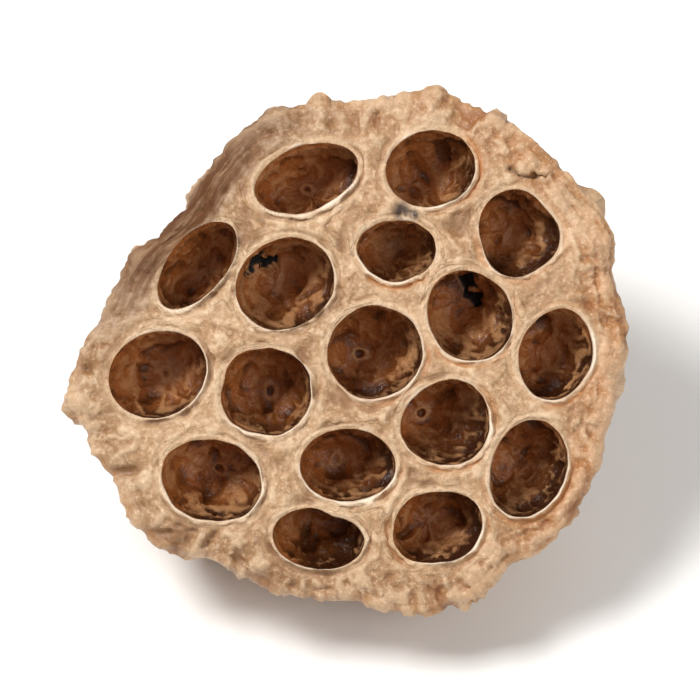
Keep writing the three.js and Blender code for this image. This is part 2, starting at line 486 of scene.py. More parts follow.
def weathered(angle):
    away = turn_between(angle, math.radians(SHADED_RIM_SIDE[0])) / math.radians(SHADED_RIM_SIDE[1])
    return np.exp(-(away**4))


def stained(points):
    spots = [np.exp(-((np.hypot(points[:, 0] - x, points[:, 1] - y) / size) ** 4)) for x, y, size in STAINS]
    return np.max(spots, axis=0)


face_share = rim_share(face_points)
face_angle = direction(face_points)
face_margin = ease(face_share, MARGIN_START - 0.02, EDGE_SHARE)
skin.add(
    np.column_stack([face_points, face_z]),
    face_angle,
    face_share - 1,
    margin=face_margin * ease(face_distance, 0.3, 1.6),
    web=(1 - 0.7 * face_margin) * ease(face_distance, 0.05, 0.5),
    away=PULL_FADES * np.tanh(face_distance / PULL_FADES),
    lip=np.exp(-(((face_distance - LIP_CREST) / LIP_HALF_WIDE) ** 2))
    * lip_strength(face_points, face_distances, 0),
    groove=groove_depth(face_points, face_distances),
    stain=np.maximum(stained(face_points), SPLIT_DARK * rim_split(face_points)),
    weathered=weathered(face_angle) * ease(face_share, 0.81, 0.9),
)
skin.faces += triangles.tolist()
print("skin so far:", skin.count(), "points")

# %% [markdown]
# ## The rim, the bowl and the stem
# From the edge of the face the skin rolls over the rim, is pinched just under it, swells into the bowl and
# runs down to the stem. Each step is a full ring of points, so the fibres keep their place all the way.
# Near the stem the rings get small, so half of their points are enough. The stem's cut end is a little
# sunken, where the soft pith has dried away.

# %% Rings from the rim to the cut end of the stem
ROLL_RINGS = 8
BOWL_RINGS = 60
STEM_RINGS = 9
HALVED_SHARE = 0.52
PINCH = 0.7
PINCH_DEPTH = 5.5
PINCH_SPREAD = 2.4
STEM_WAVES = [(3, 0.05, 1), (5, 0.03, 2)]
CUT_RADII = [0.97, 0.9, 0.78, 0.62, 0.45, 0.28, 0.12]
CUT_SINK = 0.9
# How long the grain is over the rim, for each radian of the bowl, and along the stem
ROLL_GRAIN = 0.03
BOWL_GRAIN = 0.95
STEM_GRAIN = 0.2

edge_z = face_z[:RIM_POINTS]
rim_puckers = wave_sum(PUCKER_WAVES, rim_angles)
rim_out = rim_radius(rim_angles) + SCALLOP * rim_puckers
rim_low = -RIM_THICK + PUCKER_HEIGHT * rim_puckers


class Wall:
    """The wall of rings that grows from the rim down to the stem."""

    def __init__(self):
        self.angles = rim_angles
        self.ring = 0

    def grow(self, radius, height, along, halved=False, **numbers):
        """Adds one more ring, joined to the one before it."""
        count = len(self.angles)
        height = np.broadcast_to(height, count)
        points = np.column_stack([circle(self.angles) * radius[:, None], height])
        step = 2 if halved else 1
        self.angles = self.angles[::step]
        ring = skin.add(points[::step], self.angles, along, **numbers)
        join = skin.join_halved if halved else skin.join_rings
        join(self.ring, ring, count)
        self.ring = ring


wall = Wall()
for step in np.linspace(0, 1, ROLL_RINGS + 1)[1:]:
    turned = step * math.pi / 2
    radius = edge_radius + (rim_out - edge_radius) * math.sin(turned)
    height = rim_low + (edge_z - rim_low) * math.cos(turned)
    # This side of the rim's roll gets painted shade
    dark = weathered(rim_angles)
    wall.grow(radius, height, ROLL_GRAIN * step, margin=1 - 0.4 * step, bowl=0.5 * step, weathered=dark)

stem_share = STEM_RADIUS / BOWL_ROUND_RADIUS
first_ring = math.asin((stem_share * STEM_FLARE) ** (BOWL_FULLNESS / 2))
last_ring = math.acos(RIM_THICK / BOWL_DEPTH)
for place in np.linspace(last_ring, first_ring, BOWL_RINGS + 1)[1:]:
    share, depth = bowl_ring(place)
    puckers = wave_sum(PUCKER_WAVES, wall.angles)
    radius = bowl_radius(share, wall.angles) + ribs(wall.angles) * ease(share, 0.15, 0.5)
    radius += SCALLOP * puckers * ease(share, 0.9, 1)
    radius -= PINCH * math.exp(-(((depth - PINCH_DEPTH) / PINCH_SPREAD) ** 2))
    height = -depth + PUCKER_HEIGHT * puckers * ease(share, MARGIN_START, 1)
    down = (last_ring - place) * BOWL_GRAIN + ROLL_GRAIN
    halved = share < HALVED_SHARE and len(wall.angles) == RIM_POINTS
    crumpled = 0.6 * (1 - ease(depth, 3, 12))
    wall.grow(radius, height, down, halved, bowl=ease(depth, 1, 4), margin=crumpled)

stem_uneven = 1 + wave_sum(STEM_WAVES, wall.angles)
flare_radius = bowl_radius(stem_share * STEM_FLARE, wall.angles)
flare_depth = bowl_ring(first_ring)[1]
for step in np.linspace(0, 1, STEM_RINGS + 1)[1:]:
    narrowed = ease(step, 0, 0.45)
    radius = flare_radius + (STEM_RADIUS * stem_uneven - flare_radius) * narrowed
    height = -flare_depth - (STEM_END_DEPTH - flare_depth) * step
    wall.grow(radius, height, down + STEM_GRAIN * step, bowl=1.0)
for share in CUT_RADII:
    height = CUT_SINK * (1 - ease(share, 0.35, 0.95)) - STEM_END_DEPTH
    wall.grow(STEM_RADIUS * stem_uneven * share, height, down + STEM_GRAIN, cut=1.0)
tip = skin.add(np.array([[0, 0, CUT_SINK - STEM_END_DEPTH]]), np.zeros(1), down + STEM_GRAIN, cut=1.0)
skin.close_ring(wall.ring, tip, len(wall.angles))
print("skin with bowl and stem:", skin.count(), "points")

# %% [markdown]
# ## The cups
# Each cup hangs from its lip, is widest a little below it and closes in a round floor, where the seed's
# stalk left a small ringed scar. In two cups the papery wall has torn: each tear is a sunken patch, painted
# black later as the shadow of the gap behind it. A cup's rings follow the mouth's own outline at the top and
# circles round the scar at the end.

# %% Rings of the cups
CHAMBER_DEPTH = 12.5
CHAMBER_SHALLOWING = 0.2
CHAMBER_MEETING_DEPTH = 200.0
# The streaks of the cups are read this far apart, so that no two cups have the same ones
CUP_APART = 7.0
WALL_DEPTHS = [0.012, 0.04, 0.09, 0.15, 0.22, 0.3, 0.38, 0.46, 0.54]
WALL_DEPTHS += [0.61, 0.67, 0.73, 0.78, 0.83, 0.87, 0.905, 0.935]
WALL_SWELL = 0.04
# Each ring of a scar: its radius, its rise, and how much paler (up to 1) or darker (down to -1) it is
SCAR_RINGS = [(1.6, 0.0, 0.0), (1.2, 0.12, 0.4), (0.92, 0.26, 1.0)]
SCAR_RINGS += [(0.7, 0.22, 0.7), (0.46, 0.02, -0.7), (0.22, -0.1, -1.0)]
# The floors of the cups lie off their middles, by this and a little chance; two are known
FLOOR_SHIFT = np.array([-0.9, 0.3])
SCAR_SHIFTS = {5: (-2.4, 0.7), 0: (-1.7, -0.2)}
# Scars that stand out
CLEAR_SCARS = {5: 1.2, 0: 0.8, 3: 0.8, 4: 0.4, 7: 0.6, 14: 0.4, 15: 0.4}
FAINT_SCAR = 0.1
SCAR_PIT = 0.12
# Torn patches of the walls: direction in degrees, share of the cup's depth, half size along and down the wall
TEARS = {
    2: [(150, 0.7, 0.5, 0.17), (124, 0.88, 0.5, 0.07)],
    6: [(76, 0.78, 0.42, 0.14), (40, 0.91, 0.7, 0.05)],
}
# Waves of a torn edge: size, how many go round the cup, how far they turn with depth
RAGGED_WAVES = [(0.16, 9, 40), (0.1, 19, -61)]


def cup_share(depth):
    """Width of a cup at a depth, both as shares of its mouth and its depth."""
    swell = WALL_SWELL * math.sin(math.pi * min(depth / 0.7, 1))
    return (1 - depth**3) ** 0.5 + swell


def torn(number, depth):
    """1 where the wall of a cup is torn away at this depth, 0 where it is whole."""
    worst = np.zeros(MOUTH_POINTS)
    ragged = sum(size * np.cos(count * mouth_angles + twist * depth) for size, count, twist in RAGGED_WAVES)
    for side, middle, half_wide, half_deep in TEARS.get(number, []):
        along_wall = turn_between(mouth_angles, math.radians(side)) / half_wide
        away = np.hypot(along_wall, (depth - middle) / half_deep) + ragged
        worst = np.maximum(worst, 1 - ease(away, 0.6, 1.1))
    return worst


def add_cup(number, first):
    """Adds the rings of one cup under its mouth loop, whose points start at first."""
    x, y, *_ = MOUTHS[number]
    outline = mouth_loops[number] - (x, y)
    depth_mm = CHAMBER_DEPTH * (1 - CHAMBER_SHALLOWING * math.hypot(x, y) / RIM_RADIUS)
    top = face_height(x, y)
    own = slice(first, first + MOUTH_POINTS)
    lip_z = face_z[own]
    lip_power = lip_strength(face_points[own], face_distances[:, own], 0)
    scar_shift = np.array(SCAR_SHIFTS.get(number, FLOOR_SHIFT + rng.uniform(-0.8, 0.8, 2)))
    strength = CLEAR_SCARS.get(number, FAINT_SCAR)
    previous = first

    def ring_at(spread, depth, height, **numbers):
        lean = 1 - depth * depth_mm / CHAMBER_MEETING_DEPTH
        middle = np.array([x, y]) * lean + scar_shift * ease(depth, 0.3, 1)
        ring = np.column_stack([middle + spread, height])
        return skin.add(ring, mouth_angles[: len(ring)], depth + CUP_APART * number, **numbers)

    for depth in WALL_DEPTHS:
        height = lip_z + (top - depth_mm - lip_z) * depth
        numbers = {"lining": 0.05 + 0.95 * depth, "tear": torn(number, depth)}
        numbers["lip"] = lip_power * math.exp(-((depth * depth_mm / LIP_INSIDE) ** 2))
        current = ring_at(outline * cup_share(depth), depth, height, **numbers)
        skin.join_rings(previous, current, MOUTH_POINTS, inward=True)
        previous = current
    scar_size = rng.uniform(0.75, 1.05) * min(1, MOUTHS[number][3] / 5)
    uneven = 1 + wave_sum([(2, 0.14, number), (3, 0.06, 2 * number)], mouth_angles)
    for radius, rise, paler in SCAR_RINGS:
        height = top - depth_mm + rise * strength * (2 - uneven)
        spread = circle(mouth_angles) * (radius * scar_size * uneven)[:, None]
        current = ring_at(spread, 1.0, height, lining=1.0, scar=strength, ring=paler * strength)
        skin.join_rings(previous, current, MOUTH_POINTS, inward=True)
        previous = current
    pit = np.array([top - depth_mm - SCAR_PIT * strength])
    middle = ring_at(np.zeros((1, 2)), 1.0, pit, lining=1.0, scar=strength, ring=-strength)
    skin.close_ring(previous, middle, MOUTH_POINTS, inward=True)


for number in range(len(MOUTHS)):
    add_cup(number, RIM_POINTS + number * MOUTH_POINTS)
print("skin with cups:", skin.count(), "points,", len(skin.faces), "faces")

# %% [markdown]
# ## From lists to a mesh
# The lists become one Blender mesh, placed on the table in metres. Every number goes along as a named
# attribute of the points, where Geometry Nodes and materials can read it. A count of open edges shows
# whether the skin is closed, as a mesh that is to be printed or weighed has to be.

# %% Make the pod object
pod_mesh = bpy.data.meshes.new("lotus_pod_skin")
pod_mesh.from_pydata(on_the_table(np.concatenate(skin.points)).tolist(), [], skin.faces)
pod_mesh.shade_smooth()
for name in SKIN_NUMBERS:
    attribute = pod_mesh.attributes.new(name, "FLOAT", "POINT")
    attribute.data.foreach_set("value", np.concatenate(skin.numbers[name]).astype(np.float32))
attribute = pod_mesh.attributes.new("grain", "FLOAT_VECTOR", "POINT")
attribute.data.foreach_set("vector", np.concatenate(skin.grain).astype(np.float32).ravel())


def join_scene(name, data):
    item = bpy.data.objects.new(name, data)
    scene.collection.objects.link(item)
    return item


scene = bpy.context.scene
pod = join_scene("lotus_pod_skin", pod_mesh)
edge_uses = Counter(key for polygon in pod_mesh.polygons for key in polygon.edge_keys)
print("open or doubled edges:", sum(uses != 2 for uses in edge_uses.values()))

# %% [markdown]
# ## A bench for nodes
# Node trees for wrinkles and for paint are built the same way: add a node, fill its sockets with numbers or
# the outputs of other nodes, and take its output. A tiny helper keeps that to one line a node, so the trees
# below read like formulas.

# %% A helper that lays nodes into a tree


class Bench:
    def __init__(self, tree):
        self.tree = tree

    def add(self, kind, sockets=None, output=0, **settings):
        """Adds a node, sets it up, and gives one of its outputs."""
        node = self.tree.nodes.new(kind)
        for name, value in settings.items():
            setattr(node, name, value)
        for key, value in (sockets or {}).items():
            if isinstance(value, bpy.types.NodeSocket):
                self.tree.links.new(value, node.inputs[key])
            else:
                node.inputs[key].default_value = value
        return node.outputs[output]

    def attribute(self, name, kind="FLOAT"):
        """What the points of a mesh hold under a name, for Geometry Nodes."""
        return self.add("GeometryNodeInputNamedAttribute", {"Name": name}, data_type=kind)

    def math(self, operation, *values):
        return self.add("ShaderNodeMath", dict(enumerate(values)), operation=operation)

    def total(self, *values):
        return reduce(partial(self.math, "ADD"), values)

    def product(self, *values):
        return reduce(partial(self.math, "MULTIPLY"), values)

    def step(self, value, start, end, low=0.0, high=1.0):
        """A smooth step from low to high between start and end."""
        sockets = {"Value": value, "From Min": start, "From Max": end, "To Min": low, "To Max": high}
        return self.add("ShaderNodeMapRange", sockets, interpolation_type="SMOOTHSTEP")

    def noise(self, vector, scale, detail=2.0, roughness=0.5, distortion=0.0, seed=0.0):
        sockets = {"Vector": vector, "W": seed, "Scale": scale, "Detail": detail}
        sockets.update({"Roughness": roughness, "Distortion": distortion})
        return self.add("ShaderNodeTexNoise", sockets, noise_dimensions="4D")

    def drawn(self, grain, across, down, *settings):
        """Noise drawn out along the grain, with so many changes across it and down it."""
        sockets = {0: grain, 1: (across, across, down)}
        place = self.add("ShaderNodeVectorMath", sockets, operation="MULTIPLY")
        return self.noise(place, 1.0, *settings)

    def crest(self, value):
        """1 where a noise passes its middle, falling to 0 away from it: thin ridges out of soft noise."""
        return self.math("SUBTRACT", 1.0, self.math("ABSOLUTE", self.math("MULTIPLY_ADD", value, 2.0, -1.0)))

    def flow(self, place, away, scale, rows, detail=2.0, roughness=0.5, distortion=0.0, seed=0.0):
        """Noise drawn out round the mouths, with so many rows a millimetre away from them."""
        across = self.math("MULTIPLY_ADD", away, rows / scale, seed)
        return self.noise(place, scale, detail, roughness, distortion, across)

    def web_lines(self, place, away, sharpness, seed):
        """Thin lines that follow the webs, where the skin of the face has creased."""
        lines = self.crest(self.flow(place, away, 240.0, 0.85, 2.0, 0.55, 0.4, seed))
        return self.math("POWER", lines, sharpness)

    def cracks(self, grain, sharpness, seed):
        """Long lines along the fibres, in the places where the bowl has cracked."""
        lines = self.crest(self.drawn(grain, 11.0, 0.7, 4.0, 0.5, 0.25, seed))
        cracked = self.step(self.drawn(grain, 5.0, 2.0, 2.0, 0.5, 0.0, seed), 0.48, 0.6)
        return self.product(self.math("POWER", lines, sharpness), cracked)


print("bench ready")

# %% [markdown]
# ## Drying the skin
# As the pod dries it shrinks and wrinkles, in a different way in each place: fibres and cracks on the bowl,
# pleats, folds and crumples on the margin, fine grain on the webs, soft crumples in the papery cups. All of
# them are noises pushed along the normal, so a Geometry Nodes tree is the right tool: each wrinkle has a
# named height, and one seed changes them all. The tree also keeps how far each point is pushed and how deep
# each furrow is, which the paint turns into painted highlight on crests and painted shade in furrows, and it
# presses flat what would sink into the table.

# %% Heights of the wrinkles
DRYING = {
    "Fibre height": 0.0022,
    "Crease depth": 0.0009,
    "Lump height": 0.0026,
    "Pleat height": 0.0032,
    "Rim fold height": 0.0024,
    "Web fold height": 0.0018,
    "Web line depth": 0.00012,
    "Web grain height": 0.0007,
    "Bump height": 0.0011,
    "Rim crumple height": 0.0022,
    "Crumple height": 0.003,
    "Cup streak height": 0.0006,
    "Tear depth": 0.0012,
    "Seed": 4.0,
}
# Average height of a crest
CREST_MIDDLE = 0.84
heights_mm = {name: round(value / MM, 2) for name, value in DRYING.items() if name != "Seed"}
print("wrinkle heights in mm:", heights_mm)

# %% How far the wrinkles push the skin


def wrinkles(bench, given):
    """How far the skin is pushed out, in metres, and how much it lies in a furrow, from 0 to 1."""
    seed = given["Seed"]

    def centre(value, middle=0.5):
        return bench.math("SUBTRACT", value, middle)

    def ridges(value):
        return centre(bench.crest(value), CREST_MIDDLE)

    place = bench.add("GeometryNodeInputPosition")
    grain = bench.attribute("grain", "FLOAT_VECTOR")
    names = ["away", "bowl", "web", "margin", "lining", "scar", "tear", "weathered"]
    away, bowl, web, margin, lining, scar, tear, weathered_side = map(bench.attribute, names)

    # The bowl: fibres, finer fibres, cracks and soft lumps
    fibres = ridges(bench.drawn(grain, 15, 2.2, 2.0, 0.5, 0.2, seed))
    fine_fibres = centre(bench.drawn(grain, 42, 5.0, 2.0, 0.5, 0.0, seed))
    creases = bench.cracks(grain, 16.0, seed)
    lumps = centre(bench.noise(place, 75.0, 2.0, 0.5, 0.0, seed))
    on_bowl = bench.product(bowl, bench.math("MULTIPLY_ADD", margin, -0.9, 1.0))

    # The margin: pleats across it, and on its right side and on the side with painted rim shade folds along
    # it
    right = bench.step(bench.add("ShaderNodeSeparateXYZ", {0: grain}), 0.1, 0.85)
    pleats = ridges(bench.drawn(grain, 8, 2.6, 2.0, 0.55, 0.6, seed))
    along_rim = bench.math("MAXIMUM", right, weathered_side)
    pleats = bench.product(pleats, bench.math("MULTIPLY_ADD", along_rim, -0.65, 1.0))
    rim_folds = ridges(bench.drawn(grain, 3.4, 24, 3.0, 0.55, 0.5, seed))
    rim_folds = bench.product(rim_folds, bench.math("MULTIPLY_ADD", along_rim, 0.75, 0.25))
    rim_crumples = ridges(bench.noise(place, 240.0, 3.0, 0.5, 0.7, seed))

    # The webs and the cups
    web_folds = ridges(bench.flow(place, away, 170.0, 0.5, 2.0, 0.5, 0.4, seed))
    web_lines = bench.web_lines(place, away, 6.0, seed)
    web_grain = centre(bench.flow(place, away, 480.0, 1.3, 3.0, 0.6, 0.0, seed))
    bumps = centre(bench.noise(place, 850.0, 2.0, 0.5, 0.3, seed))
    crumples = ridges(bench.noise(place, 190.0, 2.0, 0.5, 1.0, seed))
    cup_streaks = centre(bench.drawn(grain, 5.0, 1.5, 3.0, 0.6, 0.3, seed))
    off_scar = bench.math("MULTIPLY_ADD", scar, -0.8, 1.0)
    in_cup = bench.product(bench.step(lining, 0.06, 0.25), off_scar)
    on_wall = bench.product(in_cup, bench.step(lining, 0.9, 0.6))

    pushes = [
        (on_bowl, "Fibre height", fibres),
        (on_bowl, "Fibre height", bench.product(fine_fibres, 0.6)),
        (bowl, "Crease depth", bench.product(creases, -1.0)),
        (bench.math("MAXIMUM", bowl, 0.35), "Lump height", lumps),
        (margin, "Pleat height", pleats),
        (margin, "Rim fold height", rim_folds),
        (web, "Web fold height", web_folds),
        (web, "Web line depth", bench.product(web_lines, -1.0)),
        (web, "Web grain height", web_grain),
        (bench.math("ADD", web, bench.product(margin, 0.7)), "Bump height", bumps),
        (margin, "Rim crumple height", rim_crumples),
        (in_cup, "Crumple height", crumples),
        (on_wall, "Cup streak height", cup_streaks),
        (tear, "Tear depth", -1.0),
    ]
    push = bench.total(*[bench.product(where, given[name], wrinkle) for where, name, wrinkle in pushes])
    furrow = bench.product(bowl, creases)
    for where, wrinkle, start, end, share in [
        (bowl, fibres, -0.1, -0.5, 0.55),
        (margin, pleats, -0.08, -0.45, 0.6),
        (margin, rim_folds, -0.08, -0.45, 0.6),
        (web, web_folds, -0.1, -0.4, 0.6),
    ]:
        furrow = bench.math("ADD", furrow, bench.product(where, bench.step(wrinkle, start, end, 0.0, share)))
    return push, bench.math("MINIMUM", furrow, 1.0)


print("wrinkles for bowl, margin, webs and cups")

# %% The tree that moves the skin
# How far down the wall of a cup its lining starts
LINING_STARTS = 0.14


def drying_tree(husk, lining_paper):
    tree = bpy.data.node_groups.new("Drying skin", "GeometryNodeTree")
    face = tree.interface
    face.new_socket("Geometry", in_out="INPUT", socket_type="NodeSocketGeometry")
    for name in DRYING:
        face.new_socket(name, in_out="INPUT", socket_type="NodeSocketFloat")
    face.new_socket("Geometry", in_out="OUTPUT", socket_type="NodeSocketGeometry")
    bench = Bench(tree)
    given = tree.nodes.new("NodeGroupInput").outputs
    push, furrow = wrinkles(bench, given)
    kept = given["Geometry"]
    # Kept for the paint: relief gives painted highlight on crests and painted shade below, furrow gives
    # painted shade in furrows
    for name, value in (("furrow", furrow), ("relief", bench.product(push, 1 / MM))):
        sockets = {"Geometry": kept, "Name": name, "Value": value}
        kept = bench.add("GeometryNodeStoreNamedAttribute", sockets, data_type="FLOAT", domain="POINT")
    normal = bench.add("GeometryNodeInputNormal")
    offset = bench.add("ShaderNodeVectorMath", {0: normal, "Scale": push}, operation="SCALE")
    moved = bench.add("GeometryNodeSetPosition", {"Geometry": kept, "Offset": offset})
    parts = bench.add("ShaderNodeSeparateXYZ", {0: bench.add("GeometryNodeInputPosition")}).node.outputs
    above = bench.math("MAXIMUM", parts["Z"], 0.0)
    on_table = bench.add("ShaderNodeCombineXYZ", {"X": parts["X"], "Y": parts["Y"], "Z": above})
    pressed = bench.add("GeometryNodeSetPosition", {"Geometry": moved, "Position": on_table})
    real = bench.add("GeometryNodeRealizeInstances", {"Geometry": pressed})
    painted = bench.add("GeometryNodeSetMaterial", {"Geometry": real, "Material": husk})
    in_cups = bench.math("GREATER_THAN", bench.attribute("lining"), LINING_STARTS)
    sockets = {"Geometry": painted, "Selection": in_cups, "Material": lining_paper}
    painted = bench.add("GeometryNodeSetMaterial", sockets)
    tree.links.new(painted, tree.nodes.new("NodeGroupOutput").inputs["Geometry"])
    return tree


print("the tree has", len(DRYING), "inputs")

# %% [markdown]
# ## Paint for husk and cups
# A dried pod is straw-brown, with grey-brown specks of old skin. Its crests are made paler as painted
# highlight, and its furrows, grooves and creases darker as painted shade, as is one side of the rim. Its lips
# are pale, paler still on one side as painted highlight; the cups are dark and papery, with painted shade low
# on their walls, painted glints and black painted shadow in their tears, and the cut stem shows brown pith.
# One paint can hold all of it, because the attributes say where each colour belongs, and soft noise keeps the
# borders from looking drawn. It makes two materials, because the lining of the cups is a little glossier than
# the husk.

# %% Colours of the husk


def tone(red, green, blue):
    """A colour given as screen values from 0 to 255, as the linear colour that a shader wants."""
    linear = [((v / 255 + 0.055) / 1.055) ** 2.4 if v > 10 else v / 255 / 12.92 for v in (red, green, blue)]
    return (*linear, 1.0)


STRAW = tone(188, 151, 112)
PALE_STRAW = tone(232, 202, 166)
LIP_WHITE_AND_HIGHLIGHT = tone(248, 230, 206)
TOFFEE = tone(168, 126, 86)
UMBER = tone(132, 92, 56)
GOLD = tone(192, 138, 82)
HONEY = tone(176, 110, 50)
RUST = tone(146, 82, 34)
BARK = tone(50, 32, 22)
SPECK = tone(116, 90, 70)
SHADED_RIM_BROWN = tone(92, 52, 20)
CUP_TAN = tone(214, 158, 108)
CUP_BROWN = tone(174, 103, 51)
CUP_DARK = tone(52, 25, 10)
GAP_SHADOW_BLACK = tone(12, 8, 6)
PITH = tone(84, 60, 42)
print("straw as a linear colour:", [round(part, 3) for part in STRAW[:3]])

# %% The paint


def husk_material(name, shine, glossiest, dullest):
    material = bpy.data.materials.new(name)
    material.use_nodes = True
    tree = material.node_tree
    shader = tree.nodes["Principled BSDF"]
    shader.inputs["Specular IOR Level"].default_value = shine
    bench = Bench(tree)
    seed = DRYING["Seed"]

    def number(name):
        return bench.add("ShaderNodeAttribute", output="Fac", attribute_name=name)

    def mix(share, first, second):
        return bench.add("ShaderNodeMix", {0: share, 6: first, 7: second}, output=2, data_type="RGBA")

    def layered(colour, *layers):
        """A colour under layers of tint, each following a value from start to end, up to a share."""
        for tint, value, start, end, share, *where in layers:
            amount = bench.product(bench.step(value, start, end, 0.0, share), *where)
            colour = mix(amount, colour, tint)
        return colour

    place = bench.add("ShaderNodeTexCoord", output="Object")
    grain = bench.add("ShaderNodeAttribute", output="Vector", attribute_name="grain")
    names = ["bowl", "web", "away", "margin", "lining", "relief", "groove", "ring", "tear", "cut"]
    bowl, web, away, margin, lining, relief, groove, ring, tear, cut = map(number, names)
    right = bench.step(bench.add("ShaderNodeSeparateXYZ", {0: grain}), -0.3, 0.8)

    patches = bench.noise(place, 70.0, 3.0, 0.6)
    dust = bench.noise(place, 1700.0, 3.0, 0.7)
    freckles = bench.noise(place, 420.0, 4.0, 0.7, 0.3)
    fibres = bench.drawn(grain, 34, 3.0, 4.0, 0.65)
    fine_fibres = bench.drawn(grain, 95, 6.0, 3.0, 0.6)
    rim_streaks = bench.drawn(grain, 3.5, 60, 3.0, 0.6)
    threads = bench.flow(place, away, 420.0, 2.4, 4.0, 0.65, 0.2)
    creased = bench.step(bench.noise(place, 110.0, 2.0, 0.5), 0.4, 0.6)
    web_lines = bench.product(bench.web_lines(place, away, 16.0, seed), web, creased)
    cracks = bench.product(bench.cracks(grain, 40.0, seed), bowl)

    # The bowl: golden brown, with rusty and pale fibres
    bowl_tones = layered(
        GOLD,
        (STRAW, patches, 0.42, 0.62, 1.0),
        (RUST, fibres, 0.5, 0.68, 0.75),
        (PALE_STRAW, fibres, 0.48, 0.32, 0.6),
        (RUST, fine_fibres, 0.5, 0.64, 0.6),
    )

    # The face: straw with darker and paler threads, umber on the margin and honey on its right
    colour = layered(
        STRAW,
        (TOFFEE, patches, 0.35, 0.75, 1.0),
        (TOFFEE, threads, 0.5, 0.34, 0.4, web),
        (PALE_STRAW, threads, 0.5, 0.68, 0.5, web),
    )
    colour = mix(bench.product(margin, 0.55), colour, UMBER)
    honeyed = bench.step(patches, 0.4, 0.62, 0.35, 0.75)
    colour = mix(bench.product(margin, right, honeyed), colour, HONEY)
    colour = layered(
        colour,
        (PALE_STRAW, away, 1.0, 0.5, 0.45, web),
        (TOFFEE, away, 1.0, 1.7, 0.4, web),
        (PALE_STRAW, dust, 0.5, 0.7, 0.6),
        (UMBER, dust, 0.49, 0.3, 0.5),
    )
    colour = mix(bowl, colour, bowl_tones)

    # Painted highlight on crests and painted shade in furrows of all of it, specks, grooves and creases with
    # painted shade, cracks, painted shade on one side of the rim, lips with painted highlight, and stains
    furrow_shade = mix(bench.math("MAXIMUM", bowl, bench.product(margin, right)), UMBER, RUST)
    off_margin = bench.math("MULTIPLY_ADD", margin, -0.5, 1.0)
    colour = layered(
        colour,
        (PALE_STRAW, relief, 0.05, 0.45, 0.6, off_margin),
        (furrow_shade, relief, -0.05, -0.5, 0.75),
    )
    # Painted shade in the furrows
    colour = mix(bench.product(number("furrow"), 0.5), colour, furrow_shade)
    colour = layered(colour, (SPECK, freckles, 0.6, 0.74, 0.45))
    # Painted shade in the grooves outside the lips
    groove_shade = bench.product(groove, bench.step(freckles, 0.3, 0.6, 0.4, 0.8))
    colour = mix(groove_shade, colour, mix(right, UMBER, HONEY))
    # Painted shade in the creases of the webs
    colour = mix(bench.product(web_lines, 0.35), colour, UMBER)
    colour = mix(cracks, colour, BARK)
    # Painted shade in streaks along one side of the rim
    rim_shade_share = number("weathered")
    rim_shading = bench.product(rim_shade_share, bench.step(rim_streaks, 0.35, 0.6, 0.6, 1.0))
    colour = mix(rim_shading, colour, SHADED_RIM_BROWN)
    # Pale lips, paler on their strong side as painted highlight
    colour = mix(bench.product(number("lip"), 0.55), colour, LIP_WHITE_AND_HIGHLIGHT)
    colour = layered(colour, (BARK, freckles, 0.3, 0.5, 1.0, number("stain")))

    # The cups: painted shade low on the walls and a little on the floor, lighter on the floor, pale mottling
    # that is partly painted glints, painted highlight on crumple crests and painted shade in their folds,
    # with a pale ring round the scar
    mottle = bench.noise(place, 330.0, 5.0, 0.65, 0.4)
    cup_streaks = bench.drawn(grain, 9.0, 2.0, 4.0, 0.65, 0.3)
    towards_cup_shade = {0: grain, 1: (0.64, -0.77, 0.0)}
    cup_shade_side = bench.add("ShaderNodeVectorMath", towards_cup_shade, output="Value", operation="DOT_PRODUCT")
    cup_tones = layered(
        CUP_BROWN,
        (CUP_DARK, cup_shade_side, -0.5, 0.7, 1.0),
        (CUP_DARK, cup_streaks, 0.5, 0.3, 0.5),
        (CUP_BROWN, lining, 0.5, 0.95, 1.0),
        (CUP_DARK, cup_shade_side, -0.1, 0.8, 1.0, bench.step(lining, 1.0, 0.85, 0.0, 0.3)),
        (CUP_TAN, mottle, 0.54, 0.7, 0.7),
        (CUP_DARK, mottle, 0.48, 0.34, 0.55),
        (CUP_TAN, relief, 0.15, 0.45, 0.5),
        (CUP_DARK, relief, -0.05, -0.4, 0.65),
        (CUP_TAN, ring, 0.04, 0.6, 0.85),
        (CUP_DARK, ring, -0.04, -0.7, 0.7),
    )
    wobble = bench.math("MULTIPLY_ADD", dust, 0.05, bench.math("SUBTRACT", lining, 0.025))

    # Cups and their tears, painted black as the shadow of the gap behind, and the cut end of the stem, over
    # the rest
    colour = layered(
        colour,
        (cup_tones, wobble, 0.04, 0.085, 1.0),
        (CUP_TAN, tear, 0.05, 0.35, 0.5),
        (GAP_SHADOW_BLACK, tear, 0.35, 0.6, 1.0),
        (PITH, freckles, 0.35, 0.55, 1.0, cut),
        (BARK, freckles, 0.55, 0.7, 1.0, cut),
    )

    height = bench.total(
        bench.product(bowl, fine_fibres, 2.5),
        bench.noise(place, 1500.0, 4.0, 0.65),
        bench.product(bench.step(lining, 0.1, 0.3), bench.noise(place, 620.0, 3.0, 0.6, 0.5), 2.0),
        bench.product(web, threads, 1.2),
        bench.product(web_lines, -0.5),
        bench.product(cracks, -0.6),
    )
    bump = bench.add("ShaderNodeBump", {"Strength": 0.8, "Distance": 0.0003, "Height": height})
    dull = bench.math("MAXIMUM", tear, bench.product(rim_shade_share, 0.9))
    gloss = bench.math("MAXIMUM", bench.step(dust, 0.3, 0.75, glossiest, dullest), dull)

    tree.links.new(colour, shader.inputs["Base Color"])
    tree.links.new(gloss, shader.inputs["Roughness"])
    tree.links.new(bump, shader.inputs["Normal"])
    return material


husk = husk_material("dried_husk", 0.5, 0.3, 0.54)
lining_paper = husk_material("cup_lining", 0.5, 0.2, 0.42)
print("husk and lining with", len(husk.node_tree.nodes), "nodes each")

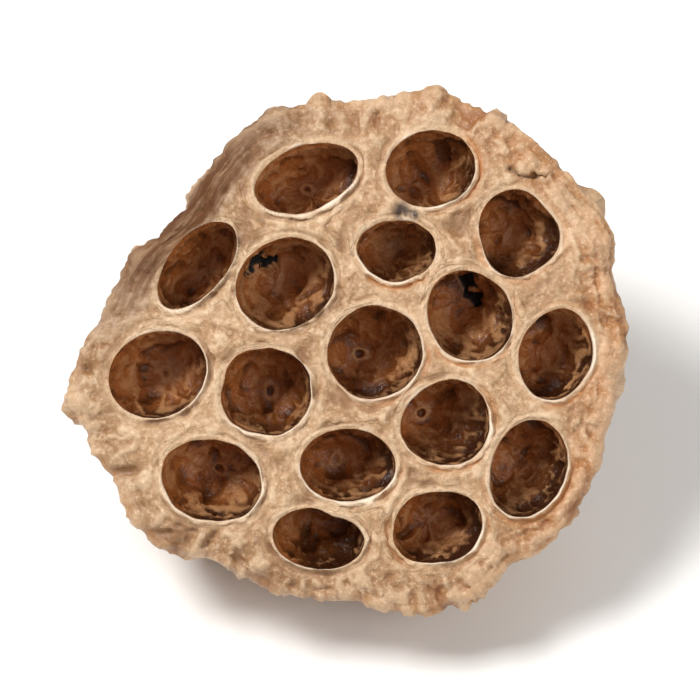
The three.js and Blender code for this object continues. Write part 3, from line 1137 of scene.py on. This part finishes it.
# %% [markdown]
# ## The dried pod
# Now the tree is set on the pod, its heights and seed are filled in, and the result is kept as a plain
# mesh. That needs no nodes to be shown, moved or printed, and it stands in for the solid that was loaded.

# %% Dry the pod and make it a plain mesh
tree = drying_tree(husk, lining_paper)
modifier = pod.modifiers.new("Drying", "NODES")
modifier.node_group = tree
for item in tree.interface.items_tree:
    if item.in_out == "INPUT" and item.name in DRYING:
        modifier[item.identifier] = DRYING[item.name]

depsgraph = bpy.context.evaluated_depsgraph_get()
dried_mesh = bpy.data.meshes.new_from_object(pod.evaluated_get(depsgraph), depsgraph=depsgraph)
pod.modifiers.clear()
pod.data = dried_mesh
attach(pod, "root")
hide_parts("lotus_pod")
triangle_count = sum(len(polygon.vertices) - 2 for polygon in dried_mesh.polygons)
print("dried pod:", len(dried_mesh.vertices), "points,", triangle_count, "triangles")

# %% [markdown]
# ## Table, light and camera
# The table is a plain pale sheet. Dried husk shows its folds best in soft light from one side, so the
# strongest lamp hangs above on the left, a larger and weaker one fills from the right, a third lights the
# back, and a pale sky opens the shadows. The camera looks straight into the cups from far away, with a long
# lens.

# %% Table
TABLE_SIZE = 4.0
table_mesh = bpy.data.meshes.new("table")
half = TABLE_SIZE / 2
table_corners = [(-half, -half, 0), (half, -half, 0), (half, half, 0), (-half, half, 0)]
table_mesh.from_pydata(table_corners, [], [(0, 1, 2, 3)])
table = join_scene("table", table_mesh)
paper = bpy.data.materials.new("pale_paper")
paper.use_nodes = True
paper_shader = paper.node_tree.nodes["Principled BSDF"]
paper_shader.inputs["Base Color"].default_value = tone(240, 239, 236)
paper_shader.inputs["Roughness"].default_value = 0.9
table_mesh.materials.append(paper)
print("table", TABLE_SIZE, "m wide")

# %% Lights
AIM = Vector(face_middle)


def facing_pod(name, data, offset):
    """A lamp or camera at an offset from the middle of the face, facing it."""
    holder = join_scene(name, data)
    holder.location = AIM + Vector(offset)
    holder.rotation_euler = (-Vector(offset)).to_track_quat("-Z", "Y").to_euler()
    return holder


def soft_lamp(name, offset, size, power):
    lamp = bpy.data.lights.new(name, "AREA")
    lamp.size = size
    lamp.energy = power
    facing_pod(name, lamp, offset)


soft_lamp("key_lamp", (-0.36, -0.02, 0.7), 0.26, 6.6)
soft_lamp("right_fill", (0.5, -0.48, 0.56), 0.45, 3.0)
soft_lamp("back_light", (0.2, 0.7, 0.5), 0.5, 1.4)
world = bpy.data.worlds.new("pale_sky")
world.use_nodes = True
sky = world.node_tree.nodes["Background"]
sky.inputs["Color"].default_value = tone(250, 250, 252)
sky.inputs["Strength"].default_value = 0.3
scene.world = world
scene.view_settings.view_transform = "Standard"

# %% Camera
VIEW_RISE = math.radians(54)
VIEW_DISTANCE = 0.75
PICTURE_WIDTH = 0.09
SENSOR_WIDTH = 36.0

camera = bpy.data.cameras.new("camera")
camera.sensor_width = SENSOR_WIDTH
camera.lens = SENSOR_WIDTH * VIEW_DISTANCE / PICTURE_WIDTH
towards = Vector((0, -math.cos(VIEW_RISE), math.sin(VIEW_RISE)))
scene.camera = facing_pod("camera", camera, towards * VIEW_DISTANCE)
print("lens", round(camera.lens), "mm from", VIEW_DISTANCE, "m")
